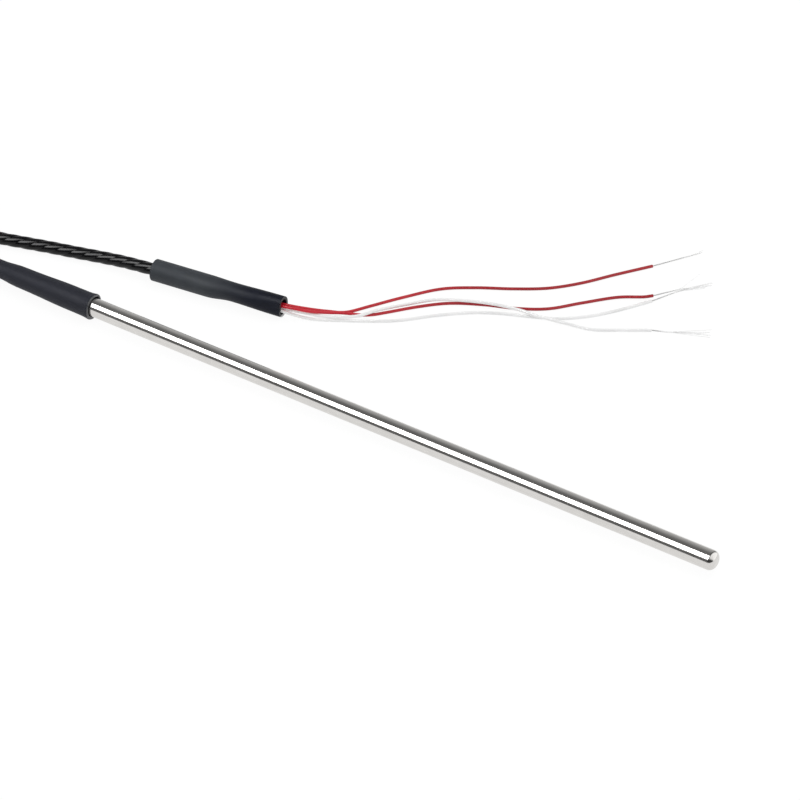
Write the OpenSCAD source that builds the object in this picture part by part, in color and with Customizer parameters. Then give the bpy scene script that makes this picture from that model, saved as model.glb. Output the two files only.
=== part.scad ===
// Resistance temperature probe with a steel sheath, a four-core cable and a flying lead.
// Millimetres. +X runs along the sheath towards its closed tip, +Z is up and the probe lies on Z = 0.
// The origin is midway along the sheath and boot.

/* [Sheath] */
// Outside diameter of the steel sheath
sheath_d = 6; // [5.5:0.1:10]
// Wall thickness of the sheath
sheath_wall = 0.5; // [0.3:0.05:0.7]
// Overall length of the sheath, closed tip included
sheath_len = 250; // [160:5:400]
// Rounding of the closed tip's corner
tip_round = 2.3; // [0.5:0.1:2.7]
// Thickness of the closed end
tip_wall = 1.2; // [0.6:0.1:3]
// Clearance between the swaged neck and the cable
neck_gap = 0.05; // [0.02:0.01:0.2]
// Length of the swaged neck
neck_len = 16; // [12:1:20]
// Length of the cone between neck and full diameter
neck_cone = 5; // [2:0.5:8]
// How much the sheath is turned down where the boot sits
boot_seat = 0.17; // [0.16:0.01:0.25]
// How far that seat shows in front of the boot
seat_past = 0.5; // [0.2:0.1:2]

/* [Boot] */
// How much of the sheath the boot covers
boot_grip = 29; // [26:1:60]
// How far the boot runs on over the cable
boot_tail = 18; // [12:1:40]
// Wall thickness of the shrunk boot
boot_wall = 0.65; // [0.4:0.05:1.2]
// Thickness of the melted adhesive under the boot
boot_lining_t = 0.2; // [0.16:0.02:0.4]
// Length of the lip at the front, where the boot stands off the sheath
lip_len = 3; // [1:0.5:6]
// How far the lip rises above the rest of the boot
lip_rise = 0.35; // [0.2:0.05:0.8]
// Gap between the lip and the sheath
lip_gap = 0.15; // [0.1:0.05:0.8]

/* [Cable] */
// Outside diameter of the cable
cable_d = 4.1; // [3.2:0.1:4.2]
// How far the cable's jacket reaches into the sheath
jacket_in = 10; // [6:1:12]
// Length of the resin plug behind the jacket's end
potting_len = 14; // [6:1:40]

/* [Cores] */
// Diameter over the insulation of each core
core_d = 1; // [0.8:0.05:1.1]
// Diameter of each core's stranded conductor
conductor_d = 0.45; // [0.3:0.05:0.6]
// Spacing of the four cores, centre to centre
core_pitch = 1.12; // [1.12:0.02:1.5]
// Length of bare conductor at each free end
bare_len = 20; // [6:1:25]
// Diameter of each strand in the conductors
strand_d = 0.14; // [0.1:0.01:0.15]

/* [Sensing element] */
// Diameter of the ceramic body
element_d = 2.8; // [2.4:0.1:4.4]
// Length of the ceramic body
element_len = 25; // [10:1:50]
// Diameter of the two bores in the body
element_bore = 0.7; // [0.6:0.02:0.9]
// Outside diameter of the platinum winding
winding_d = 0.6; // [0.4:0.02:0.66]
// Diameter of the winding's wire
winding_wire = 0.1; // [0.06:0.02:0.16]
// Turns of the winding in each bore
winding_turns = 16; // [6:1:30]
// Thickness of the glazed seal on each end
seal_t = 0.8; // [0.4:0.1:2]
// Fill between the element and the closed end
tip_fill = 1; // [0.4:0.1:5]
// Diameter of the element's leads
lead_d = 0.3; // [0.2:0.02:0.4]
// How far the leads reach into the body
lead_grip = 1.9; // [1:0.1:4]

/* [Splices] */
// Length of each crimped splice
splice_len = 6; // [5:0.5:10]
// Wall of the splice round the conductors
splice_wall = 0.16; // [0.1:0.02:0.2]
// How far leads and conductors reach into the splice
splice_grip = 2.4; // [1:0.1:2.9]
// Free length of lead between the element and the first splice
lead_free = 5; // [3:0.5:20]
// Gap between the first splice and the second along the sheath
splice_step = 3; // [1:0.5:10]
// Bare conductor between the splice and the insulation
strip_gap = 1.2; // [0.5:0.1:4]
// Wall of the sleeve over each splice
splice_sleeve_t = 0.1; // [0.06:0.01:0.12]
// How far the sleeve reaches past each end of its splice
splice_sleeve_over = 0.6; // [0:0.1:1]

/* [Transition sleeve] */
// Length of the transition sleeve
sleeve_len = 46; // [42:0.5:60]
// Outside diameter over the cable's jacket
sleeve_rear_d = 7.15; // [6.6:0.05:8]
// Outside diameter at the waist
sleeve_waist_d = 6.1; // [5.6:0.05:7]
// Outside diameter at the mouth
sleeve_mouth_d = 6.9; // [6:0.05:8]
// Wall thickness of the sleeve
sleeve_wall = 0.9; // [0.6:0.05:1.1]
// Distance from the rear end to where the sleeve starts to narrow
waist_start = 19.5; // [16:0.5:22]
// Distance over which it narrows
waist_len = 9; // [6:0.5:11]
// Depth of the pinch at the mouth, as a share of the radius
pinch = 0.34; // [0:0.02:0.4]
// How far the jacket reaches into the sleeve
sleeve_jacket = 24; // [18:1:26]
// Depth from the mouth to the adhesive
mouth_depth = 5; // [3:0.5:8]

/* [Coil] */
// Mean diameter of the coiled cable
coil_d = 44; // [42:1:60]
// Turns side by side in each of the two layers
coil_turns = 2.86; // [2:0.02:3]
// Thickness of the tie's band
tie_t = 0.8; // [0.6:0.1:1.5]
// Width of the tie's band
tie_w = 2.6; // [2:0.1:4.8]
// Side of the tie's square head
tie_head = 4.4; // [4:0.1:6]

/* [Hidden] */
$fn = 48;
cord_sides = 8;
winding_sides = 5;
winding_steps = 8;
sleeve_sides = 24;
seat = 0.06;

// Distances along the sheath, measured from its rear end
bore_end = sheath_len - tip_wall;
element_front = bore_end - tip_fill - seal_t;
element_rear = element_front - element_len;
seal_rear = element_rear - seal_t;
splice_red_at = seal_rear - lead_free - splice_len;
splice_white_at = splice_red_at - splice_step - splice_len;

bore_r = sheath_d / 2 - sheath_wall;
neck_bore_r = cable_d / 2 + neck_gap;
neck_d = 2 * (neck_bore_r + sheath_wall);
seat_r = sheath_d / 2 - boot_seat;
lining_r = sheath_d / 2 + boot_lining_t;
lining_neck_r = neck_d / 2 + boot_lining_t;
lining_cable_r = cable_d / 2 + boot_lining_t;
boot_r = lining_r + boot_wall;
lip_r = boot_r + lip_rise;
axis_z = lip_r;
sheath_rear = -(sheath_len + boot_tail) / 2 + boot_tail;
boot_rear = sheath_rear - boot_tail;
core_off = core_pitch / 2;

// The boot narrows onto the cable over this length
boot_step = 5;

// The lead is laid out from the floor below the boot's rear end, and these points go with it
sleeve_rear = [50, 27.5];
sleeve_turn = 7;
waist_lift = (sleeve_rear_d - sleeve_waist_d) / 2 - 0.1;
sleeve_z = sleeve_rear_d / 2;
coil_out_r = coil_d / 2 + cable_d * coil_turns / 2;
coil_in_r = coil_d / 2 - cable_d * coil_turns / 2;
coil_tuck = 0.1;
coil_centre = [-63, coil_out_r - coil_tuck];
coil_leave = 30;
coil_stub = 2 * sqrt(coil_out_r * cable_d / 2) + 1;
low_z = tie_t + cable_d / 2 + coil_tuck;
high_z = tie_t + cable_d * 1.5 - coil_tuck;
enter_from = coil_centre + (coil_out_r - coil_tuck) * [0, -1];
leave_way = [sin(coil_leave), -cos(coil_leave)];
leave_from = coil_centre + (coil_out_r - coil_tuck) * [cos(coil_leave), sin(coil_leave)];

from_boot_route = [
    [boot_tail + jacket_in, 0, axis_z], [0, 0, axis_z], [-10, 0, axis_z - 0.7], [-20, 0, 2.6],
    [-30, 0, 2.3], [-40, 0, low_z], [enter_from.x + coil_stub, enter_from.y, low_z]
];
to_sleeve_route = [
    lift(leave_from + leave_way * coil_stub, high_z),
    lift(leave_from + leave_way * (coil_stub + 3), high_z), [-26, 20, 5.6], [-20, 15.8, 3.6],
    [-12, 14.3, 2.3], [-4, 15.6, 2.1], [4.5, 18, 2.1], [13, 20.5, 2.1],
    [21.5, 22.8, 2.1], [29, 24.8, 2.2], [37.5, 26.2, 2.8], [44, 26.8, 3.3],
    sleeve_point(2, 0, 0), sleeve_point(sleeve_jacket, 0, 0)
];
red_1_route = [
    [98.4, 35.3, 3.9], [101.6, 37.9, 2.8], [104.4, 40.4, 1.8], [106.7, 42.5, 1.1],
    [109.2, 44.4, 0.6], [111.3, 46.4, 0.5], [115, 52.5, 0.5], [121, 62.4, 0.5], [128.5, 73, 0.5],
    [137, 79.5, 0.5], [147, 85.5, 0.5], [156, 92, 0.5], [163, 100, 0.5], [169.5, 110, 0.5],
    [177, 121, 0.5]
];
red_2_route = [
    [99.2, 33.9, 4.3], [102.6, 36.1, 3.4], [105.5, 38.8, 2.5], [107.7, 41, 1.9],
    [110, 43.2, 1.45], [112.3, 44.9, 1.1], [115, 46.7, 0.6], [118.1, 49, 0.5], [121.5, 53, 0.5],
    [127.5, 60.5, 0.5], [134.5, 67.5, 0.5], [144, 73, 0.5], [154.5, 77.5, 0.5], [162, 82.5, 0.5],
    [169, 91, 0.5], [177, 100, 0.6], [184, 104.1, 1.1], [186, 105.9, 1.3]
];
white_1_route = [
    [95.7, 33.6, 3], [102.6, 36.7, 2.1], [105.9, 38.4, 1.55], [110.6, 40.8, 1.55],
    [115.5, 44.5, 1.6], [119, 50.5, 1.7], [124, 59, 0.9], [131, 65.5, 1.7], [138.5, 70, 1.7],
    [147, 73.5, 1.7], [155.5, 75.5, 1.6], [163, 76, 1.6], [171, 78.5, 0.8], [179, 80.5, 0.5],
    [187, 85.5, 0.5], [194.5, 90.5, 0.5]
];
white_2_route = [
    [95.8, 32.3, 2.9], [103.2, 35.8, 1], [110.5, 40.3, 0.5], [119, 45.5, 0.5], [126.5, 51, 0.5],
    [135, 60, 0.5], [143.5, 67.5, 0.5], [151, 72, 0.5], [159, 75.5, 0.5], [167, 79.5, 0.5],
    [174, 85.5, 0.5], [179.5, 92.5, 0.5], [186.5, 104, 0.5]
];

// Places a shape that stands on +Z along the sheath, at a distance from its rear end
module along(distance, y = 0, z = 0) {
    translate([sheath_rear + distance, y, axis_z + z]) rotate([0, 90, 0]) children();
}

// Places the lead's pieces from the floor below the boot's rear end
module lead() {
    translate([boot_rear, 0, 0]) children();
}

// A point in the transition sleeve: distance from its rear end, then sideways and up from its axis
function sleeve_point(distance, y, z) = [
    sleeve_rear.x + distance * cos(sleeve_turn) - y * sin(sleeve_turn),
    sleeve_rear.y + distance * sin(sleeve_turn) + y * cos(sleeve_turn), sleeve_z + z
];

module in_sleeve(distance, y = 0, z = 0) {
    lead() translate(sleeve_point(distance, y, z)) rotate([0, 90, sleeve_turn]) children();
}

// A round tube swept along a list of points, with flat ends across its first and last stretch
function lift(p, z) = [p.x, p.y, z];
function unit(v) = v / norm(v);
function heading(p, i) = unit(p[min(i + 1, len(p) - 1)] - p[max(i - 1, 0)]);
function ring(centre, way, r, sides) =
    let (side = unit(cross([0, 0, 1], way)), up = cross(way, side))
    [for (k = [0:sides - 1]) let (a = 360 * (k + 0.5) / sides) centre + r * (cos(a) * side + sin(a) * up)];
function tube_faces(rings, sides) = [
    [for (k = [0:sides - 1]) k],
    for (i = [0:rings - 2], k = [0:sides - 1])
        let (a = i * sides + k, b = i * sides + (k + 1) % sides) [a, a + sides, b + sides, b],
    [for (k = [sides - 1:-1:0]) (rings - 1) * sides + k]
];

module swept(route, r, sides = cord_sides) {
    points = [for (i = [0:len(route) - 1]) each ring(route[i], heading(route, i), r, sides)];
    polyhedron(points, tube_faces(len(route), sides));
}

// ---- sheath ----

// Half section of the sheath's outside: x is the radius and y the distance from the rear end
module sheath_outline() {
    full = neck_len + neck_cone;
    polygon([
        [0, 0], [neck_d / 2, 0], [neck_d / 2, neck_len], [seat_r, full],
        [seat_r, boot_grip + seat_past], [sheath_d / 2, boot_grip + seat_past],
        [sheath_d / 2, sheath_len - tip_round], [0, sheath_len - tip_round]
    ]);
    translate([0, sheath_len - tip_round]) square([sheath_d / 2 - tip_round, tip_round]);
    intersection() {
        translate([sheath_d / 2 - tip_round, sheath_len - tip_round]) circle(tip_round);
        translate([0, sheath_len - tip_round]) square([sheath_d / 2, tip_round]);
    }
}

// Half section of the hollow between two distances from the rear end
module bore_outline(from, to) {
    full = neck_len + neck_cone;
    intersection() {
        polygon([
            [0, 0], [neck_bore_r, 0], [neck_bore_r, neck_len], [bore_r, full], [bore_r, bore_end],
            [0, bore_end]
        ]);
        translate([0, from]) square([sheath_d, to - from]);
    }
}

module sheath() {
    color("gainsboro")
        along(0)
        rotate_extrude()
        difference() {
            sheath_outline();
            bore_outline(0, bore_end);
        }
}

// ---- sensing element ----

module thermal_filler() {
    color("ivory")
        along(seal_rear)
        difference() {
            cylinder(h = bore_end - seal_rear, r = bore_r);
            translate([0, 0, -1]) cylinder(h = element_front + seal_t - seal_rear + 1, d = element_d);
        }
}

module element_body() {
    color("white")
        along(element_rear)
        difference() {
            cylinder(h = element_len, d = element_d);
            for (side = [-1, 1])
                translate([0, side * core_off, -1]) cylinder(h = element_len + 2, d = element_bore);
            translate([-element_bore / 2, -core_off, element_len - element_bore])
                cube([element_bore, core_pitch, element_bore + 1]);
        }
}

// One platinum wire: a helix forward in the red bore, across the front slot and back in the white one
function helix(from, to, y, direction) =
    let (steps = winding_turns * winding_steps, r = (winding_d - winding_wire) / 2)
    [for (i = [0:steps]) let (a = direction * 360 * i / winding_steps)
        [from + (to - from) * i / steps, y + r * cos(a), r * sin(a)]];
function winding_route() =
    let (rear = lead_grip + 0.5, front = element_len - element_bore)
    concat(
        [[lead_grip, core_off, 0], [lead_grip + 0.2, core_off, 0]], helix(rear, front, core_off, 1),
        [[front + element_bore / 2, core_off / 2, 0], [front + element_bore / 2, -core_off / 2, 0]],
        helix(front, rear, -core_off, -1), [[lead_grip + 0.2, -core_off, 0], [lead_grip, -core_off, 0]]
    );

module element_winding() {
    color("silver")
        translate([sheath_rear + element_rear, 0, axis_z])
        swept(winding_route(), winding_wire / 2, winding_sides);
}

module element_seal_front() {
    color("lightsteelblue") along(element_front) cylinder(h = seal_t, d = element_d);
}

module element_seal_rear() {
    color("lightsteelblue")
        along(seal_rear)
        difference() {
            cylinder(h = seal_t, d = element_d);
            for (side = [-1, 1])
                translate([0, side * core_off, -1]) cylinder(h = seal_t + 2, d = lead_d);
        }
}

// A lead runs from inside its splice to inside its bore, where it meets the winding
module element_lead(side, splice_at) {
    from = splice_at + splice_len - splice_grip;
    color("silver")
        along(from, side * core_off)
        cylinder(h = element_rear + lead_grip - from, d = lead_d);
}
module element_lead_red() element_lead(1, splice_red_at);
module element_lead_white() element_lead(-1, splice_white_at);

// ---- splices ----

// Section of a splice or of its sleeve: an upright oval round the two conductors
module splice_oval(wall) {
    for (end = [-1, 1])
        translate([end * core_off, 0]) circle(d = conductor_d + 2 * wall);
    square([core_pitch, conductor_d + 2 * wall], center = true);
}

module splice(side, splice_at) {
    color("goldenrod")
        along(splice_at, side * core_off)
        difference() {
            linear_extrude(splice_len) splice_oval(splice_wall);
            for (end = [-1, 1])
                translate([end * core_off, 0, -1]) cylinder(h = splice_grip + 1, d = conductor_d);
            translate([0, 0, splice_len - splice_grip]) cylinder(h = splice_grip + 1, d = lead_d);
        }
}
module splice_red() splice(1, splice_red_at);
module splice_white() splice(-1, splice_white_at);

module splice_sleeve(side, splice_at) {
    color("ghostwhite")
        along(splice_at - splice_sleeve_over, side * core_off)
        linear_extrude(splice_len + 2 * splice_sleeve_over)
        difference() {
            splice_oval(splice_wall + splice_sleeve_t);
            splice_oval(splice_wall);
        }
}
module splice_sleeve_red() splice_sleeve(1, splice_red_at);
module splice_sleeve_white() splice_sleeve(-1, splice_white_at);

// ---- cores inside the sheath ----

// Insulation from the jacket's end to just short of the splice
module core(side, level, splice_at) {
    along(jacket_in, side * core_off, -level * core_off)
        difference() {
            cylinder(h = splice_at - strip_gap - jacket_in, d = core_d);
            translate([0, 0, -1]) cylinder(h = splice_at, d = conductor_d);
        }
}
module core_red_1() color("firebrick") core(1, 1, splice_red_at);
module core_red_2() color("firebrick") core(1, -1, splice_red_at);
module core_white_1() color("whitesmoke") core(-1, 1, splice_white_at);
module core_white_2() color("whitesmoke") core(-1, -1, splice_white_at);

// Conductor from the jacket's end into the splice
module conductor(side, level, splice_at) {
    color("silver")
        along(jacket_in, side * core_off, -level * core_off)
        cylinder(h = splice_at + splice_grip - jacket_in, d = conductor_d);
}
module conductor_red_1() conductor(1, 1, splice_red_at);
module conductor_red_2() conductor(1, -1, splice_red_at);
module conductor_white_1() conductor(-1, 1, splice_white_at);
module conductor_white_2() conductor(-1, -1, splice_white_at);

module rear_potting() {
    color("dimgray")
        along(0)
        difference() {
            rotate_extrude() bore_outline(jacket_in, jacket_in + potting_len);
            for (side = [-1, 1], level = [-1, 1])
                translate([level * core_off, side * core_off, 0])
                    cylinder(h = sheath_len / 2, d = core_d);
        }
}

// ---- boot ----

module boot_lining() {
    front = boot_grip - lip_len;
    rear = -boot_tail + 1;
    color("black")
        along(0)
        rotate_extrude()
        polygon([
            [cable_d / 2, rear], [lining_cable_r, rear], [lining_cable_r, -boot_step],
            [lining_neck_r, 0], [lining_neck_r, neck_len], [lining_r, neck_len + neck_cone],
            [lining_r, front], [seat_r, front], [seat_r, neck_len + neck_cone],
            [neck_d / 2, neck_len], [neck_d / 2, 0], [cable_d / 2, 0]
        ]);
}

// Half section of the boot: it follows the lining, steps down onto the cable and flares at the lip
module boot_section() {
    front = boot_grip - lip_len;
    full = neck_len + neck_cone;
    edge = boot_wall * 0.4;
    polygon([
        [lining_cable_r, -boot_tail], [lining_cable_r + boot_wall - edge, -boot_tail],
        [lining_cable_r + boot_wall, -boot_tail + edge], [lining_cable_r + boot_wall, -boot_step - 1.4],
        [lining_cable_r + boot_wall + 0.15, -boot_step - 0.2], [lining_neck_r + boot_wall - 0.15, -0.2],
        [lining_neck_r + boot_wall, 1], [lining_neck_r + boot_wall, neck_len - 4], [boot_r, full],
        [boot_r, front], [lip_r, boot_grip - edge], [lip_r - edge * 0.6, boot_grip],
        [sheath_d / 2 + lip_gap, boot_grip], [lining_r, front], [lining_r, full],
        [lining_neck_r, neck_len], [lining_neck_r, 0], [lining_cable_r, -boot_step]
    ]);
}

module boot() {
    color([0.2, 0.21, 0.24]) along(0) rotate_extrude() boot_section();
}

// ---- cable ----

module cable_from_boot() {
    color([0.08, 0.08, 0.09]) lead() swept(from_boot_route, cable_d / 2);
}

// Section of the coiled turns, two layers high, on the tie's band
module coil_section(grow = 0) {
    width = coil_out_r - coil_in_r + cable_d;
    round_r = cable_d / 2;
    translate([coil_d / 2 - width / 2, tie_t]) {
        for (x = [round_r, width - round_r], y = [round_r, 2 * cable_d - round_r])
            translate([x, y]) circle(round_r + grow);
        translate([round_r, -grow]) square([width - 2 * round_r, 2 * cable_d + 2 * grow]);
        translate([-grow, round_r]) square([width + 2 * grow, 2 * cable_d - 2 * round_r]);
    }
}

// The closed outline of all the turns, with the two stretches that leave it
module cable_coil() {
    color([0.08, 0.08, 0.09])
        lead() {
            translate(coil_centre) rotate_extrude() coil_section();
            translate(lift(enter_from, low_z)) rotate([0, 90, 0]) cylinder(h = coil_stub, d = cable_d);
            translate(lift(leave_from, high_z))
                rotate([0, 90, coil_leave - 90])
                cylinder(h = coil_stub, d = cable_d);
        }
}

// Band round the turns, with a head on the outside
module coil_tie() {
    turn = 168;
    span = tie_w / coil_out_r * 180 / PI;
    out = coil_out_r + cable_d / 2;
    color("dimgray")
        lead()
        translate(coil_centre)
        rotate([0, 0, turn - span / 2]) {
            rotate_extrude(angle = span)
                difference() {
                    coil_section(tie_t);
                    coil_section();
                }
            rotate([0, 0, span / 2])
                translate([out + 0.05, -tie_head / 2, tie_t + cable_d - tie_head / 2])
                difference() {
                    cube([tie_head * 0.75, tie_head, tie_head]);
                    translate([tie_t, (tie_head - tie_w) / 2, -1]) cube([tie_t * 1.4, tie_w, tie_head + 2]);
                }
        }
}

module cable_to_sleeve() {
    color([0.08, 0.08, 0.09]) lead() swept(to_sleeve_route, cable_d / 2);
}

// ---- transition sleeve ----

function clamp01(t) = min(max(t, 0), 1);
function smooth(t) = let (u = clamp01(t)) u * u * (3 - 2 * u);
function waist_share(s) = smooth((s - waist_start) / waist_len);
function mouth_share(s) = smooth((s - waist_start - waist_len) / (sleeve_len - waist_start - waist_len));
function rim_round(s) = let (near = min(s, sleeve_len - s) / 0.5) near < 1 ? 0.3 * pow(1 - near, 2) : 0;
function sleeve_r(s) = (
    sleeve_rear_d + (sleeve_waist_d - sleeve_rear_d) * waist_share(s)
        + (sleeve_mouth_d - sleeve_waist_d) * mouth_share(s)
) / 2;
// The pinch is deepest at the mouth, on the side that faces the probe
function pinch_at(s, a) = pinch * smooth((s - sleeve_len + 12) / 12) * (
    exp(-pow((a - 170) / 42, 2)) + 0.3 * exp(-pow((a < 180 ? a : a - 360) / 50, 2))
);
function sleeve_ring(s, thinner) = [for (k = [0:sleeve_sides - 1])
    let (a = 360 * k / sleeve_sides, r = sleeve_r(s) * (1 - pinch_at(s, a)) - thinner)
    sleeve_point(s, r * cos(a), waist_lift * waist_share(s) + r * sin(a))];

// Distances at which the sleeve's form is set
sleeve_stations = [
    0, 0.4, waist_start / 2, waist_start, waist_start + waist_len * 0.3, waist_start + waist_len * 0.6,
    waist_start + waist_len, sleeve_len - 12, sleeve_len - 9, sleeve_len - 6, sleeve_len - 3,
    sleeve_len - 0.5, sleeve_len
];

module transition_sleeve() {
    sides = sleeve_sides;
    count = len(sleeve_stations);
    outside = [for (s = sleeve_stations) each sleeve_ring(s, rim_round(s))];
    inside = [for (i = [count - 1:-1:0])
        let (s = sleeve_stations[i]) each sleeve_ring(s, sleeve_wall - rim_round(s))];
    rings = 2 * count;
    faces = [for (i = [0:rings - 1], k = [0:sides - 1])
        let (a = i * sides + k, b = i * sides + (k + 1) % sides, n = ((i + 1) % rings - i) * sides)
        [a, a + n, b + n, b]];
    color([0.2, 0.21, 0.24]) lead() polyhedron(concat(outside, inside), faces);
}

// Adhesive round the jacket's end and the four wires, as the sleeve's inside shapes it
module sleeve_adhesive() {
    ends = [1.5, sleeve_len - mouth_depth];
    middle = [for (s = sleeve_stations) if (s > ends[0] + 0.5 && s < ends[1] - 0.5) s];
    stations = concat([ends[0]], middle, [ends[1]]);
    points = [for (s = stations) each sleeve_ring(s, sleeve_wall + seat)];
    color([0.12, 0.12, 0.12])
        difference() {
            lead() polyhedron(points, tube_faces(len(stations), sleeve_sides));
            in_sleeve(0) cylinder(h = sleeve_jacket, d = cable_d + seat);
            for (side = [-1, 1], level = [-1, 1])
                in_sleeve(sleeve_jacket - 1, side * core_off, level * core_off)
                    cylinder(h = sleeve_len, d = core_d);
        }
}

// ---- wires ----

// Insulation of one wire, from the jacket's end through the sleeve and along its route
function wire_route(side, level, route) = concat(
    [for (s = [sleeve_jacket, sleeve_len - mouth_depth]) sleeve_point(s, side * core_off, level * core_off)],
    route
);
module wire(side, level, route) {
    lead() swept(wire_route(side, level, route), core_d / 2);
}
module wire_red_1() color("firebrick") wire(1, 1, red_1_route);
module wire_red_2() color("firebrick") wire(-1, 1, red_2_route);
module wire_white_1() color("whitesmoke") wire(1, -1, white_1_route);
module wire_white_2() color("whitesmoke") wire(-1, -1, white_2_route);

// Each strand at a bare end: 1 if it lies round the middle one, at what angle, sideways share, shortfall
strand_lay = [
    [0, 0, 0.1, 0], [1, 0, -0.3, 1.4], [1, 60, 0.7, 1], [1, 120, 1, 0.4], [1, 180, 0.3, 0.8],
    [1, 240, -0.6, 0.2], [1, 300, -1, 1.8]
];

// Bare end: a short twisted root, then the strands spread in a flat fan
module bare_end(route, fan, turn) {
    last = len(route) - 1;
    way = heading(route, last);
    root = bare_len * 0.3;
    lead()
        translate(route[last])
        rotate([0, acos(way.z), atan2(way.y, way.x)]) {
            cylinder(h = root, d = conductor_d);
            for (lay = strand_lay)
                translate([0, 0, root - strand_d] + lay[0] * strand_d * [cos(lay[1]), sin(lay[1]), 0])
                rotate([-turn - fan * lay[2], lay[0] * cos(lay[1]), 0])
                cylinder(h = bare_len - root - lay[3], d = strand_d, $fn = 16);
        }
}
module strands_red_1() color("lightgray") bare_end(red_1_route, 2, 3);
module strands_red_2() color("lightgray") bare_end(red_2_route, 9, 14);
module strands_white_1() color("lightgray") bare_end(white_1_route, 5, -6);
module strands_white_2() color("lightgray") bare_end(white_2_route, 4, 1);

sheath();
thermal_filler();
element_body();
element_winding();
element_seal_front();
element_seal_rear();
element_lead_red();
element_lead_white();
splice_red();
splice_white();
splice_sleeve_red();
splice_sleeve_white();
core_red_1();
core_red_2();
core_white_1();
core_white_2();
conductor_red_1();
conductor_red_2();
conductor_white_1();
conductor_white_2();
rear_potting();
boot_lining();
boot();
cable_from_boot();
cable_coil();
coil_tie();
cable_to_sleeve();
sleeve_adhesive();
transition_sleeve();
wire_red_1();
wire_red_2();
wire_white_1();
wire_white_2();
strands_red_1();
strands_red_2();
strands_white_1();
strands_white_2();
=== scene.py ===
"""Visual model of a cable temperature probe: steel sheath, shrunk boot, coiled cable and wire break-out."""

import logging
import math
from collections.abc import Sequence
from dataclasses import dataclass, field
from enum import Enum

import bmesh
import bpy
from mathutils import Matrix, Vector, noise


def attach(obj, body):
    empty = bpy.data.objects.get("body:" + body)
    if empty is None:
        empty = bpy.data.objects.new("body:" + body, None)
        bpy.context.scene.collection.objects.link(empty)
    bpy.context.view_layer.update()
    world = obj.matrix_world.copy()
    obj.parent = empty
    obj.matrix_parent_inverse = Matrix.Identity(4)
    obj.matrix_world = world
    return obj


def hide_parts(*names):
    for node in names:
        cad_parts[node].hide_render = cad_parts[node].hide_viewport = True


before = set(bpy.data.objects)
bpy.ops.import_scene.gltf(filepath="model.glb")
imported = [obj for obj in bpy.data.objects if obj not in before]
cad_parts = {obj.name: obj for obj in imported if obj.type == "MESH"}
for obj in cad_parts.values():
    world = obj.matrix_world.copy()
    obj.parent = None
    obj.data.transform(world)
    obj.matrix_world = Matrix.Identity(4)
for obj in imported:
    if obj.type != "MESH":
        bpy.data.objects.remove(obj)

log = logging.getLogger("probe")

Point = tuple[float, float, float]
Colour = tuple[float, float, float]
Material = bpy.types.Material
Piece = bpy.types.Object
Shape = bmesh.types.BMesh
Socket = bpy.types.NodeSocket

# Where the probe lies in the row's frame, in metres
SHEATH_REAR = -0.116
AXIS_Z = 0.0042
BOOT_REAR = -0.134

# A face belongs to a cut end when its normal leans at least this far towards the cut's direction
CUT_FACING = 0.55

# Distance between the points of a cord's line and of a bare strand's line, in metres
CORD_SPACING = 0.0008
STRAND_SPACING = 0.0007


# ---------------------------------------------------------------- shared tools


class Side(Enum):
    """Colour of a core and of the wire that continues it."""

    RED = "red"
    WHITE = "white"


def place(bm: Shape, matrix: Matrix) -> None:
    """Move everything in a bmesh by a matrix."""
    bmesh.ops.transform(bm, matrix=matrix, verts=bm.verts)


def along_x(distance: float) -> Matrix:
    """Matrix that puts a shape, made round the X axis, at a distance from the sheath's rear end."""
    return Matrix.Translation((SHEATH_REAR + distance, 0.0, AXIS_Z))


def finished(name: str, bm: Shape, material: Material, crease: float = 35.0) -> Piece:
    """Turn a bmesh into an object at the origin that rides on the part.

    Args:
        name: The new object's name.
        bm: The shape, already in the row's frame. It is freed.
        material: The finish of the whole piece.
        crease: Edges that turn by more than this many degrees stay sharp.

    Returns:
        The new object.
    """
    bmesh.ops.recalc_face_normals(bm, faces=bm.faces)
    for face in bm.faces:
        face.smooth = True
    mesh = bpy.data.meshes.new(name)
    bm.to_mesh(mesh)
    bm.free()
    mesh.set_sharp_from_angle(angle=math.radians(crease))
    piece = bpy.data.objects.new(name, mesh)
    bpy.context.scene.collection.objects.link(piece)
    mesh.materials.append(material)
    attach(piece, "root")
    log.info("%s: %d faces", name, len(mesh.polygons))
    return piece


def dress_cut(piece: Piece, way: Vector, reach: float, material: Material) -> None:
    """Give the faces of a cut end their own finish.

    Args:
        piece: The tube that was cut.
        way: Unit direction in which the cut end faces.
        reach: Lowest distance along that direction that belongs to the cut.
        material: The finish of the cut.
    """
    mesh = piece.data
    mesh.materials.append(material)
    for face in mesh.polygons:
        if face.normal.dot(way) > CUT_FACING and face.center.dot(way) > reach:
            face.material_index = 1


def spun(outline: Sequence[tuple[float, float]], steps: int) -> Shape:
    """Spin a closed outline once round the X axis.

    Args:
        outline: Pairs of distance along X and radius.
        steps: Faces round the circle.

    Returns:
        The spun shape, with its doubled points merged.
    """
    bm = bmesh.new()
    points = [bm.verts.new((x, 0.0, radius)) for x, radius in outline]
    edges = [bm.edges.new(pair) for pair in zip(points, [*points[1:], points[0]])]
    bmesh.ops.spin(
        bm, geom=points + edges, cent=(0, 0, 0), axis=(1, 0, 0), angle=math.tau, steps=steps, use_merge=True
    )
    bmesh.ops.remove_doubles(bm, verts=bm.verts, dist=1e-6)
    return bm


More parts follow.
